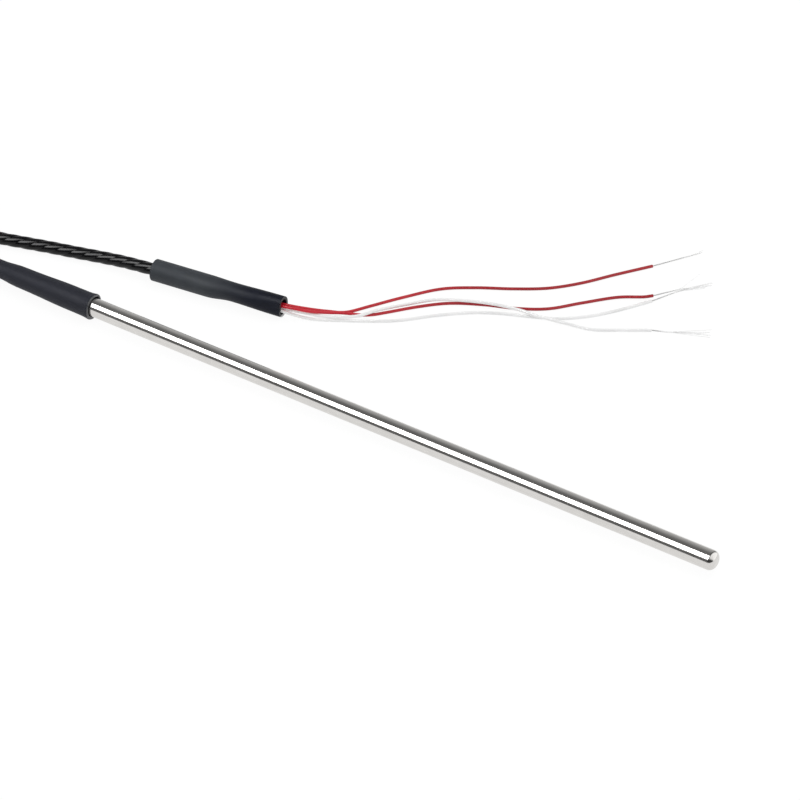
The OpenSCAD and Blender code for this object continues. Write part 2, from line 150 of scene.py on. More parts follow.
def rings_at(bm: Shape, corners: Sequence[tuple[float, float]]) -> list[bmesh.types.BMEdge]:
    """Find the edges of a spun shape that run round the X axis at some of its corners.

    Args:
        bm: The spun shape.
        corners: Pairs of distance along X and radius.

    Returns:
        The edges of those rings.
    """

    def on_corner(vert: bmesh.types.BMVert) -> bool:
        """Whether a point lies on one of the rings."""
        radius = math.hypot(vert.co.y, vert.co.z)
        return any(abs(vert.co.x - x) < 1e-5 and abs(radius - r) < 1e-5 for x, r in corners)

    return [
        edge for edge in bm.edges
        if abs(edge.verts[0].co.x - edge.verts[1].co.x) < 1e-6 and all(map(on_corner, edge.verts))
    ]


def cut_across(bm: Shape, start: float, end: float, count: int) -> None:
    """Cut a shape into evenly spaced lengths along X.

    Args:
        bm: The shape.
        start: Place of the first cut.
        end: Place of the last cut.
        count: Number of lengths between them.
    """
    for index in range(count + 1):
        x = start + (end - start) * index / count
        everything = [*bm.verts, *bm.edges, *bm.faces]
        bmesh.ops.bisect_plane(bm, geom=everything, dist=1e-6, plane_co=(x, 0, 0), plane_no=(1, 0, 0))


def round_off(bm: Shape, edges: list[bmesh.types.BMEdge], offset: float, segments: int) -> None:
    """Bevel edges to a round.

    Args:
        bm: The shape.
        edges: The edges to round.
        offset: How far the round reaches from each edge.
        segments: Faces across the round.
    """
    bmesh.ops.bevel(
        bm, geom=edges, offset=offset, offset_type="OFFSET", segments=segments, profile=0.5,
        affect="EDGES", clamp_overlap=True, material=-1,
    )


def smooth_step(share: float) -> float:
    """Ease from 0 to 1 as the share goes from 0 to 1."""
    share = min(max(share, 0.0), 1.0)
    return share * share * (3 - 2 * share)


def spline_through(points: Sequence[Vector], spacing: float) -> list[Vector]:
    """A smooth line through the points, as evenly spaced points.

    Args:
        points: What the line goes through.
        spacing: Distance between the points of the result.

    Returns:
        Points on the line, the first and the last point given among them.
    """
    ends = [2 * points[0] - points[1], *points, 2 * points[-1] - points[-2]]
    fine: list[Vector] = []
    for p0, p1, p2, p3 in zip(ends, ends[1:], ends[2:], ends[3:]):
        knots = [0.0]
        for a, b in ((p0, p1), (p1, p2), (p2, p3)):
            knots.append(knots[-1] + max((b - a).length, 1e-9) ** 0.5)
        t0, t1, t2, t3 = knots
        pieces = max(2, math.ceil((p2 - p1).length / spacing * 3))
        for step in range(pieces):
            t = t1 + (t2 - t1) * step / pieces
            a1 = (t1 - t) / (t1 - t0) * p0 + (t - t0) / (t1 - t0) * p1
            a2 = (t2 - t) / (t2 - t1) * p1 + (t - t1) / (t2 - t1) * p2
            a3 = (t3 - t) / (t3 - t2) * p2 + (t - t2) / (t3 - t2) * p3
            b1 = (t2 - t) / (t2 - t0) * a1 + (t - t0) / (t2 - t0) * a2
            b2 = (t3 - t) / (t3 - t1) * a2 + (t - t1) / (t3 - t1) * a3
            fine.append((t2 - t) / (t2 - t1) * b1 + (t - t1) / (t2 - t1) * b2)
    fine.append(points[-1].copy())
    return evenly(fine, spacing)


def evenly(points: Sequence[Vector], spacing: float) -> list[Vector]:
    """Space a line's points evenly.

    Args:
        points: The line.
        spacing: Wanted distance between the points of the result.

    Returns:
        The same line with evenly spaced points.
    """
    reach = [0.0]
    for a, b in zip(points, points[1:]):
        reach.append(reach[-1] + (b - a).length)
    count = max(2, round(reach[-1] / spacing))
    result: list[Vector] = []
    index = 0
    for step in range(count + 1):
        target = reach[-1] * step / count
        while index < len(reach) - 2 and reach[index + 1] < target:
            index += 1
        share = (target - reach[index]) / max(reach[index + 1] - reach[index], 1e-12)
        result.append(points[index].lerp(points[index + 1], share))
    return result


@dataclass
class Sweep:
    """Round or lobed section carried along lines, made with a curve and turned into a mesh."""

    name: str
    radius: float
    sides: int = 16
    lobes: int = 0
    lobe_share: float = 0.75
    lay: float = 0.0
    crease: float = 35.0

    def reach(self, angle: float) -> float:
        """Distance from the middle to the section's edge, where each lobe is an arc of a smaller circle.

        Args:
            angle: Direction round the section, in radians.

        Returns:
            The distance.
        """
        if not self.lobes:
            return self.radius
        off = math.remainder(angle, math.tau / self.lobes)
        arc = self.radius * self.lobe_share
        shift = self.radius - arc
        return shift * math.cos(off) + math.sqrt(arc * arc - (shift * math.sin(off)) ** 2)

    def section(self) -> Piece:
        """The closed curve that is carried along.

        Returns:
            A curve object, which is removed once the mesh is made.
        """
        curve = bpy.data.curves.new(self.name + "_section", "CURVE")
        spline = curve.splines.new("POLY")
        spline.points.add(self.sides - 1)
        spline.use_cyclic_u = True
        for index, point in enumerate(spline.points):
            angle = math.tau * index / self.sides
            radius = self.reach(angle)
            point.co = (radius * math.cos(angle), radius * math.sin(angle), 0, 1)
        section = bpy.data.objects.new(curve.name, curve)
        bpy.context.scene.collection.objects.link(section)
        return section

    def mesh(self, lines: Sequence[Sequence[Vector]]) -> bpy.types.Mesh:
        """Carry the section along each line.

        Args:
            lines: One list of points for each tube, in the row's frame.

        Returns:
            One mesh that holds all the tubes.
        """
        section = self.section()
        curve = bpy.data.curves.new(self.name, "CURVE")
        curve.dimensions = "3D"
        curve.twist_mode = "MINIMUM"
        curve.bevel_mode = "OBJECT"
        curve.bevel_object = section
        curve.use_fill_caps = True
        for line in lines:
            spline = curve.splines.new("POLY")
            spline.points.add(len(line) - 1)
            travelled = 0.0
            for index, (point, co) in enumerate(zip(spline.points, line)):
                if index:
                    travelled += (co - line[index - 1]).length
                point.co = (*co, 1)
                point.radius = 1.0
                point.tilt = math.tau * travelled / self.lay if self.lay else 0.0
        holder = bpy.data.objects.new(self.name, curve)
        bpy.context.scene.collection.objects.link(holder)
        graph = bpy.context.evaluated_depsgraph_get()
        mesh = bpy.data.meshes.new_from_object(holder.evaluated_get(graph))
        mesh.name = self.name
        for spare in (holder, section):
            data = spare.data
            bpy.data.objects.remove(spare)
            bpy.data.curves.remove(data)
        return mesh

    def piece(self, lines: Sequence[Sequence[Vector]], material: Material) -> Piece:
        """Make the tubes as one finished object.

        Args:
            lines: One list of points for each tube, in the row's frame.
            material: The finish of them all.

        Returns:
            The new object.
        """
        bm = bmesh.new()
        bm.from_mesh(self.mesh(lines))
        bmesh.ops.remove_doubles(bm, verts=bm.verts, dist=1e-7)
        return finished(self.name, bm, material, self.crease)


# ---------------------------------------------------------------- finishes


class Tree:
    """A node tree, with short calls that add and join nodes."""

    def __init__(self, tree: bpy.types.NodeTree) -> None:
        """Work on the given tree."""
        self.tree = tree

    def add(self, kind: str, **settings: object) -> bpy.types.Node:
        """Add a node and set its properties.

        Args:
            kind: The node's type name.
            settings: Its properties and their values.

        Returns:
            The new node.
        """
        node = self.tree.nodes.new(kind)
        for key, value in settings.items():
            setattr(node, key, value)
        return node

    def link(self, source: Socket, target: Socket) -> None:
        """Join two sockets."""
        self.tree.links.new(source, target)

    def combined(self, operation: str, first: Socket, second: Socket | float) -> Socket:
        """Work out one value from two.

        Args:
            operation: Name of the math node's operation.
            first: The first value.
            second: The second value, or a fixed number.

        Returns:
            The result.
        """
        node = self.add("ShaderNodeMath", operation=operation)
        self.link(first, node.inputs[0])
        if isinstance(second, float):
            node.inputs[1].default_value = second
        else:
            self.link(second, node.inputs[1])
        return node.outputs[0]

    def spread(self, source: Socket, low: float, high: float, at: tuple[float, float] = (0.3, 0.7)) -> Socket:
        """Map a value between two marks to the range from low to high.

        Args:
            source: The value.
            low: Result at the first mark.
            high: Result at the second mark.
            at: The two marks.

        Returns:
            The result.
        """
        node = self.add("ShaderNodeMapRange")
        for key, value in zip(("From Min", "From Max", "To Min", "To Max"), (*at, low, high)):
            node.inputs[key].default_value = value
        self.link(source, node.inputs["Value"])
        return node.outputs["Result"]

    def blend(self, source: Socket, stops: Sequence[tuple[float, Colour]]) -> Socket:
        """Colour from a value, through a ramp with the given stops.

        Args:
            source: The value.
            stops: Places on the ramp and their colours.

        Returns:
            The colour.
        """
        node = self.add("ShaderNodeValToRGB")
        ramp = node.color_ramp
        while len(ramp.elements) < len(stops):
            ramp.elements.new(0.5)
        for element, (position, colour) in zip(ramp.elements, stops):
            element.position = position
            element.color = (*colour, 1)
        self.link(source, node.inputs["Fac"])
        return node.outputs["Color"]

    def either(self, share: Socket, first: Socket, second: Socket) -> Socket:
        """Shader that goes from the first to the second.

        Args:
            share: How much of the second shows.
            first: Shader at 0.
            second: Shader at 1.

        Returns:
            The mixed shader.
        """
        node = self.add("ShaderNodeMixShader")
        for source, target in zip((share, first, second), node.inputs):
            self.link(source, target)
        return node.outputs[0]


class Nodes(Tree):
    """A material's node tree, with what the finishes share."""

    def __init__(self, name: str) -> None:
        """Start a material with one Principled shader.

        Args:
            name: The material's name.
        """
        self.material = bpy.data.materials.new(name)
        self.material.use_nodes = True
        super().__init__(self.material.node_tree)
        self.shader = self.tree.nodes["Principled BSDF"]

    def set(self, **values: float | tuple) -> None:
        """Set the shader's own sockets, named with _ for a space."""
        for key, value in values.items():
            self.shader.inputs[key.replace("_", " ")].default_value = value

    def place(self, scale: Point = (1, 1, 1)) -> Socket:
        """Object coordinates, stretched.

        Args:
            scale: Stretch along each axis.

        Returns:
            The coordinates.
        """
        source = self.add("ShaderNodeTexCoord")
        mapping = self.add("ShaderNodeMapping")
        mapping.inputs["Scale"].default_value = scale
        self.link(source.outputs["Object"], mapping.inputs["Vector"])
        return mapping.outputs["Vector"]

    def noise(self, scale: float, detail: float, rough: float, stretch: Point = (1, 1, 1)) -> Socket:
        """Noise from 0 to 1, at a scale in cells per metre.

        Args:
            scale: Cells per metre.
            detail: Octaves of finer noise.
            rough: Weight of each finer octave.
            stretch: Stretch along each axis.

        Returns:
            The noise.
        """
        node = self.add("ShaderNodeTexNoise")
        node.inputs["Scale"].default_value = scale
        node.inputs["Detail"].default_value = detail
        node.inputs["Roughness"].default_value = rough
        self.link(self.place(stretch), node.inputs["Vector"])
        return node.outputs["Fac"]

    def total(self, *sources: tuple[Socket, float]) -> Socket:
        """Weighted sum of several values.

        Args:
            sources: Pairs of a value and its weight.

        Returns:
            The sum.
        """
        result: Socket | None = None
        for source, weight in sources:
            node = self.add("ShaderNodeMath", operation="MULTIPLY_ADD")
            node.inputs[1].default_value = weight
            node.inputs[2].default_value = 0.0
            self.link(source, node.inputs[0])
            if result is not None:
                self.link(result, node.inputs[2])
            result = node.outputs[0]
        return result

    def along(self, start: float, end: float, axis: str = "X") -> Socket:
        """Value that eases from 0 to 1 between two places along an axis.

        Args:
            start: Place of 0, in metres.
            end: Place of 1, in metres.
            axis: Name of the axis.

        Returns:
            The value.
        """
        parts = self.add("ShaderNodeSeparateXYZ")
        self.link(self.place(), parts.inputs[0])
        node = self.add("ShaderNodeMapRange", interpolation_type="SMOOTHSTEP")
        node.inputs["From Min"].default_value = start
        node.inputs["From Max"].default_value = end
        self.link(parts.outputs[axis], node.inputs["Value"])
        return node.outputs["Result"]

    def fade(self, share: Socket, first: Socket, second: Socket) -> Socket:
        """Colour that goes from the first to the second.

        Args:
            share: How much of the second shows.
            first: Colour at 0.
            second: Colour at 1.

        Returns:
            The mixed colour.
        """
        node = self.add("ShaderNodeMix", data_type="RGBA")
        self.link(share, node.inputs["Factor"])
        self.link(first, node.inputs[6])
        self.link(second, node.inputs[7])
        return node.outputs[2]

    def colour(self, source: Socket) -> None:
        """Drive the base colour."""
        self.link(source, self.shader.inputs["Base Color"])

    def rough(self, source: Socket) -> None:
        """Drive the roughness."""
        self.link(source, self.shader.inputs["Roughness"])

    def bump(self, height: Socket, depth: float) -> None:
        """Raise the surface by a height map, depth metres from 0 to 1.

        Args:
            height: The height map.
            depth: Height of a full step, in metres.
        """
        node = self.add("ShaderNodeBump")
        node.inputs["Strength"].default_value = 1.0
        node.inputs["Distance"].default_value = depth
        self.link(height, node.inputs["Height"])
        self.link(node.outputs["Normal"], self.shader.inputs["Normal"])


def mixed(colour: Colour, factor: float) -> Colour:
    """The colour made lighter or darker by a factor."""
    return tuple(min(1.0, part * factor) for part in colour)


@dataclass(frozen=True)
class DrawnSteel:
    """Stainless tube, ground and polished after drawing."""

    name: str = "drawn_steel"
    tone: Colour = (0.67, 0.655, 0.635)
    roughness: float = 0.12

    def material(self) -> Material:
        """Build the material: streaks along the tube, fine rings from the polishing wheel and dull spots."""
        n = Nodes(self.name)
        streaks = n.noise(60, 3, 0.6, (1, 40, 40))
        rings = n.noise(900, 2, 0.5, (3, 0.3, 0.3))
        spots = n.noise(220, 4, 0.6)
        n.colour(n.blend(n.total((streaks, 0.6), (spots, 0.4)), [
            (0.3, mixed(self.tone, 0.88)), (0.7, mixed(self.tone, 1.08)),
        ]))
        n.rough(n.spread(n.total((streaks, 0.5), (spots, 0.5)), self.roughness * 0.75, self.roughness * 1.3))
        n.bump(n.total((streaks, 0.75), (rings, 0.25)), 4e-6)
        n.set(Metallic=1.0)
        return n.material


@dataclass(frozen=True)
class ShrunkTube:
    """Polyolefin tube that has been shrunk with hot air: satin, slightly uneven."""

    name: str = "shrunk_tube"
    tone: Colour = (0.021, 0.0225, 0.0305)
    front_tone: Colour = (0.021, 0.0225, 0.0305)
    tone_change: tuple[float, float] = (0.0, 1.0)
    roughness: float = 0.55
    level: float = 0.14

    def material(self) -> Material:
        """Build the material: clouds, soft orange peel and faint lines, fading along X from the first tone to
        the second.
        """
        n = Nodes(self.name)
        clouds = n.noise(260, 3, 0.55)
        peel = n.noise(2600, 2, 0.5)
        lines = n.noise(120, 2, 0.5, (0.6, 22, 22))
        mottle = n.total((clouds, 0.7), (lines, 0.3))
        rear_mottle = n.blend(mottle, [
            (0.3, mixed(self.tone, 0.86)), (0.5, self.tone), (0.72, mixed(self.tone, 1.2)),
        ])
        front_mottle = n.blend(mottle, [
            (0.3, mixed(self.front_tone, 0.84)), (0.5, self.front_tone), (0.72, mixed(self.front_tone, 1.25)),
        ])
        # Fades along X to the second tone, which on the sleeve is darker towards the mouth.
        n.colour(n.fade(n.along(*self.tone_change), rear_mottle, front_mottle))
        n.rough(n.spread(clouds, self.roughness - 0.06, self.roughness + 0.08))
        n.bump(n.total((peel, 0.35), (clouds, 0.45), (lines, 0.2)), 1.8e-5)
        n.set(Specular_IOR_Level=self.level)
        return n.material


@dataclass(frozen=True)
class CutFace:
    """Cut end of a shrunk tube: smooth where the blade went through, with a pale painted highlight on its
    lowest part.
    """

    name: str = "cut_face"
    tone: Colour = (0.008, 0.009, 0.011)
    # Pale colour painted on the cut's lowest part as a highlight; height gives where it fades to black.
    painted_glint: Colour = (0.55, 0.55, 0.55)
    height: tuple[float, float] = (0.0013, 0.0016)
    roughness: float = 0.5

    def material(self) -> Material:
        """Build the material: fine blade marks over black, with a pale painted highlight near the floor."""
        n = Nodes(self.name)
        marks = n.noise(1800, 3, 0.6)
        black = n.blend(marks, [(0.35, mixed(self.tone, 0.8)), (0.7, mixed(self.tone, 1.4))])
        # Painted highlight: pale below the first height, black above the second.
        pale = n.blend(marks, [(0.35, mixed(self.painted_glint, 0.7)), (0.6, self.painted_glint)])
        n.colour(n.fade(n.along(*self.height, "Z"), pale, black))
        n.rough(n.spread(marks, self.roughness - 0.05, self.roughness + 0.15))
        n.bump(marks, 8e-6)
        n.set(Specular_IOR_Level=0.5)
        return n.material


@dataclass(frozen=True)
class GlossyJacket:
    """Black extruded cable jacket with a wet shine."""

    name: str = "glossy_jacket"
    tone: Colour = (0.004, 0.004, 0.0046)
    roughness: float = 0.15

    def material(self) -> Material:
        """Build the material: faint handling marks over black, with a fine ripple in the shine."""
        n = Nodes(self.name)
        marks = n.noise(420, 4, 0.6)
        ripple = n.noise(1500, 2, 0.5)
        n.colour(n.blend(marks, [(0.35, mixed(self.tone, 0.8)), (0.7, mixed(self.tone, 1.7))]))
        n.rough(n.spread(marks, self.roughness - 0.05, self.roughness + 0.12))
        n.bump(n.total((ripple, 0.5), (marks, 0.5)), 8e-6)
        n.set(Specular_IOR_Level=0.2)
        return n.material


@dataclass(frozen=True)
class WireInsulation:
    """Smooth extruded insulation of a single wire."""

    name: str
    tone: Colour
    deep: Colour
    far: Colour
    roughness: float = 0.32

    def material(self) -> Material:
        """Build the material: slow change of tone along the wire, specks of dust and a soft shine."""
        n = Nodes(self.name)
        slow = n.noise(90, 2, 0.5)
        specks = n.noise(2400, 3, 0.6)
        mottle = n.total((slow, 0.75), (specks, 0.25))
        near = n.blend(mottle, [(0.32, self.deep), (0.58, self.tone)])
        far = n.blend(mottle, [(0.32, mixed(self.far, 0.9)), (0.58, self.far)])
        n.colour(n.fade(n.along(-0.03, 0.01), near, far))
        n.rough(n.spread(specks, self.roughness - 0.05, self.roughness + 0.1))
        n.bump(n.total((specks, 0.6), (slow, 0.4)), 6e-6)
        n.set(Specular_IOR_Level=0.5)
        return n.material


@dataclass(frozen=True)
class FineMetal:
    """Thin wire: tinned copper strands, platinum leads or a brass crimp."""

    name: str
    tone: Colour
    tarnish: Colour
    roughness: float = 0.3
    metallic: float = 1.0
    # Share of the tone left at the insulation's end, for painted shade where the strands bunch; 1 paints
    # none.
    root: float = 1.0

    def material(self) -> Material:
        """Build the material: patches of tarnish and draw marks, with painted shade at the insulation's end,
        where the strands bunch.
        """
        n = Nodes(self.name)
        patches = n.noise(700, 4, 0.6)
        marks = n.noise(4000, 2, 0.5)
        bright = n.blend(patches, [(0.3, self.tarnish), (0.6, self.tone)])
        # Painted shade: the strands are darker near the insulation's end, where they bunch, and reach their
        # own tone past the gather.
        if self.root < 1:
            dull = n.blend(patches, [
                (0.3, mixed(self.tarnish, self.root)), (0.6, mixed(self.tone, self.root)),
            ])
            bared = n.add("ShaderNodeAttribute", attribute_name="bared")
            bright = n.fade(n.spread(bared.outputs["Fac"], 0, 1, (0.3, 1.1)), dull, bright)
        n.colour(bright)
        n.rough(n.spread(patches, self.roughness + 0.12, self.roughness - 0.05))
        n.bump(marks, 3e-6)
        n.set(Metallic=self.metallic)
        return n.material


@dataclass(frozen=True)
class MouldedPolymer:
    """Nylon, resin, melted adhesive or a thin film."""

    name: str
    tone: Colour
    roughness: float
    grain: float = 1200.0
    clear: float = 0.0

    def material(self) -> Material:
        """Build the material: flow clouds and a fine grain."""
        n = Nodes(self.name)
        flow = n.noise(self.grain * 0.2, 3, 0.55)
        grain = n.noise(self.grain, 2, 0.5)
        n.colour(n.blend(flow, [(0.3, mixed(self.tone, 0.8)), (0.7, mixed(self.tone, 1.2))]))
        n.rough(n.spread(grain, self.roughness - 0.05, self.roughness + 0.08))
        n.bump(n.total((grain, 0.6), (flow, 0.4)), 1e-5)
        n.set(Transmission_Weight=self.clear)
        return n.material


@dataclass(frozen=True)
class FiredCeramic:
    """Alumina body, glass glaze or packed oxide powder."""

    name: str
    tone: Colour
    shade: Colour
    roughness: float
    grain: float = 2000.0
    depth: float = 1.2e-5

    def material(self) -> Material:
        """Build the material: granular tone and surface."""
        n = Nodes(self.name)
        grains = n.noise(self.grain, 5, 0.65)
        clouds = n.noise(self.grain * 0.15, 2, 0.5)
        n.colour(n.blend(n.total((grains, 0.5), (clouds, 0.5)), [(0.35, self.shade), (0.6, self.tone)]))
        n.rough(n.spread(clouds, self.roughness - 0.06, self.roughness + 0.06))
        n.bump(grains, self.depth)
        return n.material


def made(finish: object) -> Material:
    """Field that holds a finish's material, which is built with the whole set."""
    return field(default_factory=finish.material)


@dataclass
class Finishes:
    """Every finish of the probe, built once."""

    steel: Material = made(DrawnSteel())
    boot: Material = made(ShrunkTube())
    sleeve: Material = made(ShrunkTube(
        "shrunk_sleeve", (0.043, 0.048, 0.055), (0.0045, 0.006, 0.0125), (-0.068, -0.047), level=0.18))
    cut: Material = made(CutFace())
    # The boot's cut is painted a lighter grey than the boot: a painted highlight of the soft light on the cut
    # face.
    boot_cut: Material = made(CutFace(
        "boot_cut_face", (0.065, 0.067, 0.073), height=(-1.0, -0.9), roughness=0.26))
    jacket: Material = made(GlossyJacket())
    red: Material = made(WireInsulation(
        "red_insulation", (0.62, 0.013, 0.03), (0.52, 0.01, 0.022), (0.4, 0.014, 0.022)))
    white: Material = made(WireInsulation(
        "white_insulation", (0.95, 0.95, 0.945), (0.9, 0.9, 0.895), (0.94, 0.94, 0.94), 0.4))
    # The tinned strands keep 0.66 of their tone at the insulation's end as painted shade.
    tinned: Material = made(FineMetal(
        "tinned_copper", (0.94, 0.94, 0.94), (0.84, 0.84, 0.835), 0.5, 0.3, 0.66))
    platinum: Material = made(FineMetal(
        "platinum_wire", (0.72, 0.7, 0.67), (0.6, 0.58, 0.55), 0.25))
    brass: Material = made(FineMetal(
        "brass_crimp", (0.72, 0.52, 0.22), (0.45, 0.3, 0.12), 0.3))
    film: Material = made(MouldedPolymer(
        "insulating_film", (0.82, 0.8, 0.7), 0.35, 900, 0.25))
    resin: Material = made(MouldedPolymer(
        "potting_resin", (0.02, 0.02, 0.022), 0.4, 700))
    adhesive: Material = made(MouldedPolymer(
        "melted_adhesive", (0.012, 0.012, 0.012), 0.25, 500))
    nylon: Material = made(MouldedPolymer(
        "tie_nylon", (0.018, 0.018, 0.02), 0.42, 1500))
    alumina: Material = made(FiredCeramic(
        "fired_alumina", (0.87, 0.86, 0.82), (0.78, 0.76, 0.71), 0.45))
    glaze: Material = made(FiredCeramic(
        "glass_glaze", (0.55, 0.64, 0.7), (0.42, 0.5, 0.56), 0.12, 800, 4e-6))
    powder: Material = made(FiredCeramic(
        "oxide_powder", (0.84, 0.83, 0.78), (0.7, 0.68, 0.62), 0.9, 3500, 4e-5))


# ---------------------------------------------------------------- studio


class Room(Tree):
    """The world's node tree, with what the lighting shares."""

    def __init__(self) -> None:
        """Start an empty tree in a new world."""
        world = bpy.data.worlds.new("room")
        bpy.context.scene.world = world
        world.use_nodes = True
        super().__init__(world.node_tree)
        self.tree.nodes.clear()

    def background(self, strength: float) -> bpy.types.Node:
        """White light of the given strength.

        Args:
            strength: How bright it is.

        Returns:
            The background node.
        """
        node = self.add("ShaderNodeBackground")
        node.inputs["Color"].default_value = (1, 1, 1, 1)
        node.inputs["Strength"].default_value = strength
        return node

    def levels(self, source: Socket, stops: Sequence[tuple[float, float]]) -> Socket:
        """Grey level from a value, through a ramp with the given stops."""
        return self.blend(source, [(position, (level, level, level)) for position, level in stops])


def aim(thing: Piece, spot: Point, target: Point) -> None:
    """Stand a camera or a lamp at a spot and turn it towards a target.

    Args:
        thing: The camera or lamp, which is added to the scene.
        spot: Where it stands.
        target: What it looks at.
    """
    thing.location = spot
    thing.rotation_euler = (Vector(target) - Vector(spot)).to_track_quat("-Z", "Y").to_euler()
    bpy.context.scene.collection.objects.link(thing)


@dataclass
class Studio:
    """Camera, pale floor and soft light."""

    eye: Point = (0.4298, -0.59709, 0.55621)
    target: Point = (0.01567, 0.01783, 0.0)
    lens: float = 139.06
    sensor: float = 36.0
    nearest: float = 0.01
    furthest: float = 50.0
    floor_size: float = 3.0
    floor_tone: float = 0.93
    floor_glow: float = 1.03
    glow_share: float = 0.9
    light: float = 0.816
    seen: float = 1.0
    mirrored: float = 9.0
    lamp_spot: Point = (0.1, 0.5, 1.2)
    lamp_size: float = 0.8
    lamp_power: float = 3.0

    def camera(self) -> None:
        """Put the camera where the whole probe shows, with its lead's coil outside the view."""
        data = bpy.data.cameras.new("camera")
        data.lens = self.lens
        data.sensor_width = self.sensor
        data.clip_start = self.nearest
        data.clip_end = self.furthest
        camera = bpy.data.objects.new("camera", data)
        aim(camera, self.eye, self.target)
        bpy.context.scene.camera = camera

    def floor(self) -> None:
        """Lay a white sheet that shows only a faint shadow."""
        bm = bmesh.new()
        bmesh.ops.create_grid(bm, x_segments=1, y_segments=1, size=self.floor_size)
        mesh = bpy.data.meshes.new("floor")
        bm.to_mesh(mesh)
        bm.free()
        floor = bpy.data.objects.new("floor", mesh)
        bpy.context.scene.collection.objects.link(floor)
        n = Nodes("white_sheet")
        tone = self.floor_tone
        n.set(Base_Color=(tone, tone, tone, 1), Roughness=0.9, Specular_IOR_Level=0.0)
        glow = n.add("ShaderNodeEmission")
        glow.inputs["Strength"].default_value = self.floor_glow
        rays = n.add("ShaderNodeLightPath").outputs
        reflected = n.combined("MAXIMUM", rays["Is Glossy Ray"], rays["Is Transmission Ray"])
        viewed = n.combined("MAXIMUM", rays["Is Camera Ray"], reflected)
        share = n.combined("MULTIPLY", viewed, self.glow_share)
        sheet = n.either(share, n.shader.outputs["BSDF"], glow.outputs["Emission"])
        n.link(sheet, n.tree.nodes["Material Output"].inputs["Surface"])
        mesh.materials.append(n.material)

    def sky(self) -> None:
        """Light the scene from all round: white to the eye, a grey room in reflections."""
        room = Room()
        parts = room.add("ShaderNodeSeparateXYZ")
        room.link(room.add("ShaderNodeTexCoord").outputs["Generated"], parts.inputs[0])
        back = room.combined("MULTIPLY", parts.outputs["Y"], -1.0)
        tilt = room.combined("ARCTAN2", parts.outputs["Z"], back)
        up = room.spread(tilt, 0.0, 1.0, (0.0, math.pi))
        along = room.spread(parts.outputs["X"], 0.0, 1.0, (-1.0, 1.0))

        def patch(rise: Sequence[tuple[float, float]], width: Sequence[tuple[float, float]]) -> Socket:
            """Brightness with one profile upwards and one along the room."""
            return room.combined("MULTIPLY", room.levels(up, rise), room.levels(along, width))

        walls = patch([
            (0.0, 0.053), (0.15, 0.053), (0.3, 0.033), (0.46, 0.057), (0.58, 0.062), (0.66, 0.095),
            (0.74, 0.14), (0.84, 0.183), (0.96, 0.233), (1.0, 0.25),
        ], [(0.0, 0.3), (0.44, 0.3), (0.5, 0.1), (1.0, 0.1)])
        window = patch(
            [(0.0, 0.0), (0.2, 0.0), (0.33, 0.1), (0.6, 0.13), (1.0, 0.13)],
            [(0.0, 0.0), (0.55, 0.0), (0.64, 1.0), (1.0, 1.0)],
        )
        box = patch([
            (0.0, 0.0), (0.155, 0.0), (0.17, 0.03), (0.19, 0.16), (0.222, 1.0), (0.388, 1.0),
            (0.425, 0.0), (1.0, 0.0),
        ], [(0.0, 0.0), (0.13, 0.0), (0.2, 1.0), (0.42, 1.0), (0.51, 0.0), (1.0, 0.0)])
        gloss = room.background(self.mirrored)
        room.link(room.combined("ADD", room.combined("ADD", walls, window), box), gloss.inputs["Color"])
        rays = room.add("ShaderNodeLightPath").outputs
        light, seen = room.background(self.light), room.background(self.seen)
        inner = room.either(rays["Is Glossy Ray"], light.outputs[0], gloss.outputs[0])
        whole = room.either(rays["Is Camera Ray"], inner, seen.outputs[0])
        room.link(whole, room.add("ShaderNodeOutputWorld").inputs["Surface"])

    def lamp(self) -> None:
        """Hang one broad soft lamp above and behind, which reflections don't show."""
        data = bpy.data.lights.new("key", "AREA")
        data.size = self.lamp_size
        data.energy = self.lamp_power
        lamp = bpy.data.objects.new("key", data)
        lamp.visible_glossy = False
        aim(lamp, self.lamp_spot, (0, 0, 0))

    def build(self) -> None:
        """Set up the whole studio."""
        self.camera()
        self.floor()
        self.sky()
        self.lamp()
        bpy.context.scene.view_settings.view_transform = "Standard"


# ---------------------------------------------------------------- cable


